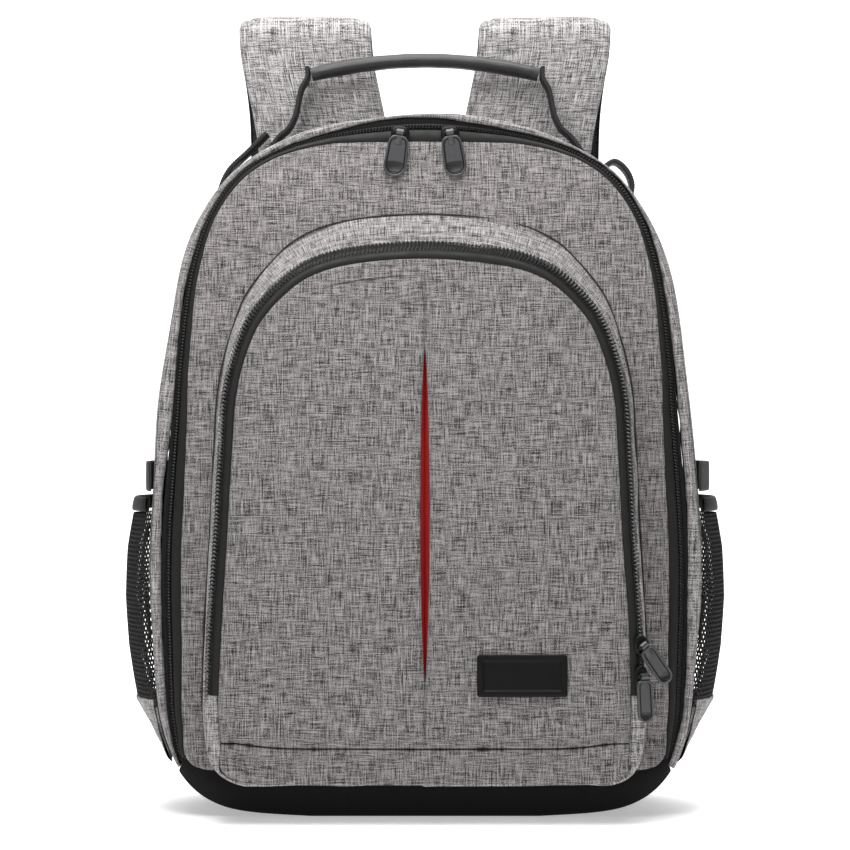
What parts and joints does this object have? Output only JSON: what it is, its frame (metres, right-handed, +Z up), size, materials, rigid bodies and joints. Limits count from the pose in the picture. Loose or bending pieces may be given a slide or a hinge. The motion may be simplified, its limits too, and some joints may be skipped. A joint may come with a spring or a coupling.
{
  "type": "camera backpack",
  "caption": "Upright padded camera backpack with an arched zipped lid, a slit front pocket, net side pockets, a carry handle and folded shoulder straps.",
  "frame": {"origin": "on the floor under the middle of the base tray, at the base mount", "axes": "+X to the right seen from the front, the front faces -Y, +Z up"},
  "size_m": [0.3692, 0.2063, 0.497],
  "materials": {
    "pale_grey_cloth": "light grey melange woven polyester",
    "grey_cloth": "mid grey melange woven polyester",
    "black_cloth": "black coated fabric and webbing",
    "zip_tape": "black zip tape and coil",
    "black_net": "black knitted net",
    "black_rubber": "matt moulded rubber",
    "red_lining": "dark red lining cloth",
    "black_plastic": "black moulded plastic",
    "dark_metal": "gunmetal plated metal"
  },
  "bodies": {
    "pack": {"side_gusset": "pale_grey_cloth", "base_tray": "black_cloth", "back_panel": "black_cloth", "lid_panel": "grey_cloth", "main_zip_lid_tape": "zip_tape", "main_zip_coil": "zip_tape", "main_zip_body_tape": "zip_tape", "pocket_gusset": "pale_grey_cloth", "pocket_zip_coil": "zip_tape", "pocket_zip_tape": "zip_tape", "pocket_front": "grey_cloth", "pocket_lower_band": "grey_cloth", "slit_lining": "red_lining", "label_patch": "black_rubber", "handle_grip": "black_rubber", "side_pocket_net_left": "black_net", "side_pocket_foot_left": "pale_grey_cloth", "side_pocket_binding_left": "black_cloth", "side_strap_left": "black_cloth", "shoulder_strap_left": "pale_grey_cloth", "strap_lining_left": "black_cloth", "ladder_lock_left": "black_plastic", "strap_webbing_left": "black_cloth", "handle_webbing_left": "black_cloth", "corner_webbing_left": "black_cloth", "side_pocket_net_right": "black_net", "side_pocket_foot_right": "pale_grey_cloth", "side_pocket_binding_right": "black_cloth", "side_strap_right": "black_cloth", "shoulder_strap_right": "pale_grey_cloth", "strap_lining_right": "black_cloth", "ladder_lock_right": "black_plastic", "strap_webbing_right": "black_cloth", "handle_webbing_right": "black_cloth", "corner_webbing_right": "black_cloth", "main_left_slider": "dark_metal", "main_right_slider": "dark_metal", "pocket_upper_slider": "dark_metal", "pocket_lower_slider": "dark_metal"},
    "main_left_pull": {"main_left_pull": "dark_metal"},
    "main_right_pull": {"main_right_pull": "dark_metal"},
    "pocket_upper_pull": {"pocket_upper_pull": "dark_metal"},
    "pocket_lower_pull": {"pocket_lower_pull": "dark_metal"}
  },
  "joints": [
    {"name": "main_left_pull_swing", "type": "hinge", "parent": "pack", "child": "main_left_pull", "pos_m": [-0.015, -0.02321, 0.41149], "axis": [-0.9877, 0, 0.1564], "range_deg": [0, 160]},
    {"name": "main_right_pull_swing", "type": "hinge", "parent": "pack", "child": "main_right_pull", "pos_m": [0.015, -0.02321, 0.41149], "axis": [-0.9877, 0, -0.1564], "range_deg": [0, 160]},
    {"name": "pocket_upper_pull_swing", "type": "hinge", "parent": "pack", "child": "pocket_upper_pull", "pos_m": [0.12801, -0.07221, 0.106], "axis": [-0.7602, -0.2767, -0.5878], "range_deg": [0, 150]},
    {"name": "pocket_lower_pull_swing", "type": "hinge", "parent": "pack", "child": "pocket_lower_pull", "pos_m": [0.12801, -0.07384, 0.088], "axis": [-0.9384, -0.3416, -0.0523], "range_deg": [0, 150]}
  ]
}
